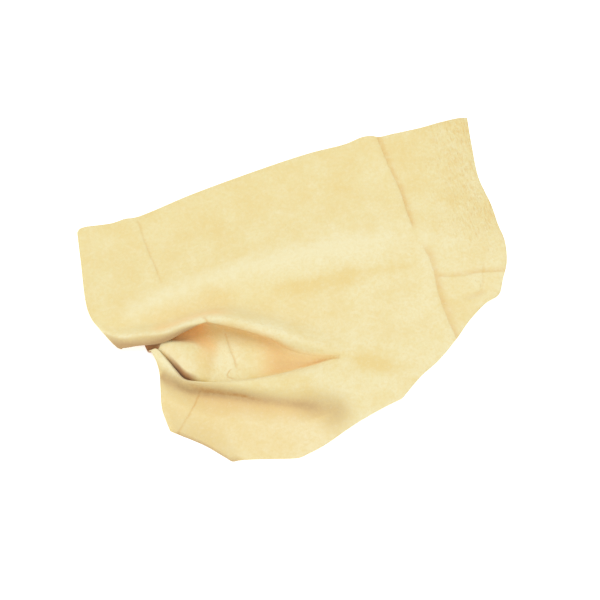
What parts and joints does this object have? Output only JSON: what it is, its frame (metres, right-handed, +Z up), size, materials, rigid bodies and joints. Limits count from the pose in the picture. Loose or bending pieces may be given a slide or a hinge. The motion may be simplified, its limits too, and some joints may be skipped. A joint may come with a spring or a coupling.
{
  "type": "chamois leather",
  "caption": "Natural chamois skin for wiping and drying, laid out with one soft tuck folded into its near left side.",
  "frame": {"origin": "on the table, under the middle of the skin's box", "axes": "+Z up, +X along the skin's longer side, +Y away from the near edge that the tuck opens towards"},
  "size_m": [0.435, 0.4004, 0.0272],
  "materials": {
    "chamois_suede": "matt suede on both sides, pale cream yellow"
  },
  "bodies": {
    "root": {"chamois_skin": "chamois_suede"}
  },
  "joints": []
}
